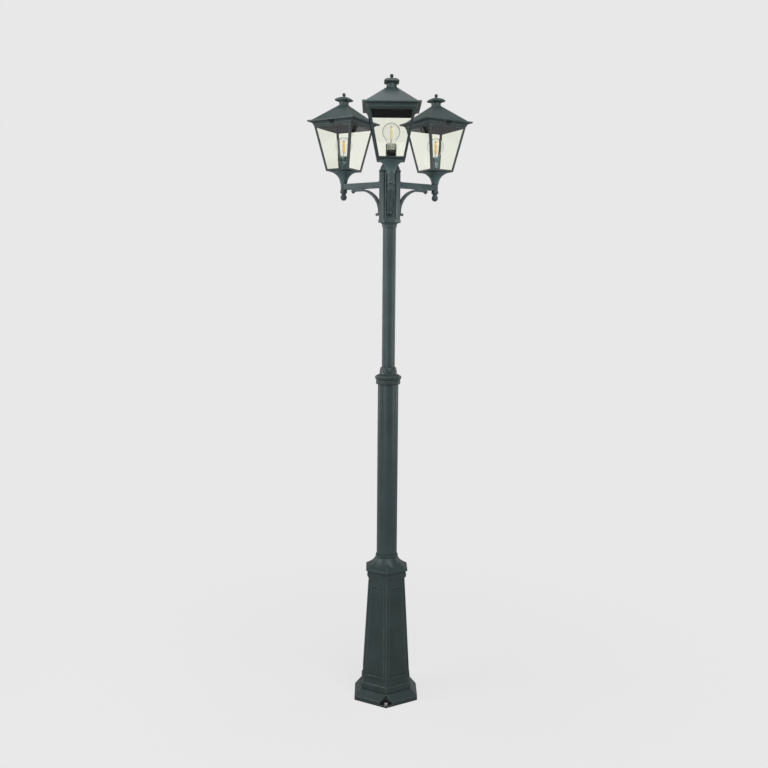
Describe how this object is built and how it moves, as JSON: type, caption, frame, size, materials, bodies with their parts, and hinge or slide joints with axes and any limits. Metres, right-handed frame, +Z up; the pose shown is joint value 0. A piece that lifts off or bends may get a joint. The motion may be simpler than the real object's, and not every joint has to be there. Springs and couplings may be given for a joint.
{
  "type": "triple head lamp post",
  "caption": "Lamp post: panelled hexagonal pedestal, stepped round shaft, bracketed arms carrying tapered square glass lanterns with hinged hollow roofs.",
  "frame": {"origin": "on the column's axis at the ground, the centre of the foot's anchor bolt circle", "axes": "+Z up along the column; the front arm and its lantern point towards -Y, the other two towards +X+Y and -X+Y"},
  "size_m": [0.6058, 0.5247, 2.2501],
  "materials": {
    "anthracite_paint": "satin powder coat on cast aluminium and steel tube",
    "pane_glass": "clear float glass, faint warm tint",
    "lamp_glass": "clear blown glass with a fine filament",
    "holder_moulding": "matte grey moulding",
    "fixing_steel": "plain stainless"
  },
  "bodies": {
    "post": {"base_plinth": "anthracite_paint", "base_pedestal": "anthracite_paint", "base_cap": "anthracite_paint", "lower_shaft": "anthracite_paint", "shaft_collar": "anthracite_paint", "upper_shaft": "anthracite_paint", "head_block": "anthracite_paint", "head_cap": "anthracite_paint", "arm_front": "anthracite_paint", "bracket_front": "anthracite_paint", "drop_finial_front": "anthracite_paint", "bell_front": "anthracite_paint", "cage_front": "anthracite_paint", "pane_outer_front": "pane_glass", "pane_left_front": "pane_glass", "pane_inner_front": "pane_glass", "pane_right_front": "pane_glass", "lamp_holder_front": "holder_moulding", "lamp_front": "lamp_glass", "hinge_pin_front": "fixing_steel", "arm_left": "anthracite_paint", "bracket_left": "anthracite_paint", "drop_finial_left": "anthracite_paint", "bell_left": "anthracite_paint", "cage_left": "anthracite_paint", "pane_outer_left": "pane_glass", "pane_left_left": "pane_glass", "pane_inner_left": "pane_glass", "pane_right_left": "pane_glass", "lamp_holder_left": "holder_moulding", "lamp_left": "lamp_glass", "hinge_pin_left": "fixing_steel", "arm_right": "anthracite_paint", "bracket_right": "anthracite_paint", "drop_finial_right": "anthracite_paint", "bell_right": "anthracite_paint", "cage_right": "anthracite_paint", "pane_outer_right": "pane_glass", "pane_left_right": "pane_glass", "pane_inner_right": "pane_glass", "pane_right_right": "pane_glass", "lamp_holder_right": "holder_moulding", "lamp_right": "lamp_glass", "hinge_pin_right": "fixing_steel"},
    "front_lid": {"roof_front": "anthracite_paint", "catch_screw_front": "fixing_steel", "vent_cap_front": "anthracite_paint", "ball_finial_front": "anthracite_paint"},
    "left_lid": {"roof_left": "anthracite_paint", "catch_screw_left": "fixing_steel", "vent_cap_left": "anthracite_paint", "ball_finial_left": "anthracite_paint"},
    "right_lid": {"roof_right": "anthracite_paint", "catch_screw_right": "fixing_steel", "vent_cap_right": "anthracite_paint", "ball_finial_right": "anthracite_paint"}
  },
  "joints": [
    {"name": "roof_hinge_front", "type": "hinge", "parent": "post", "child": "front_lid", "pos_m": [-0.0805, -0.196, 2.1325], "axis": [0, -1, 0], "range_deg": [0, 95]},
    {"name": "roof_hinge_left", "type": "hinge", "parent": "post", "child": "left_lid", "pos_m": [-0.12949, 0.16772, 2.1325], "axis": [-0.866, 0.5, 0], "range_deg": [0, 95]},
    {"name": "roof_hinge_right", "type": "hinge", "parent": "post", "child": "right_lid", "pos_m": [0.20999, 0.02829, 2.1325], "axis": [0.866, 0.5, 0], "range_deg": [0, 95]}
  ]
}
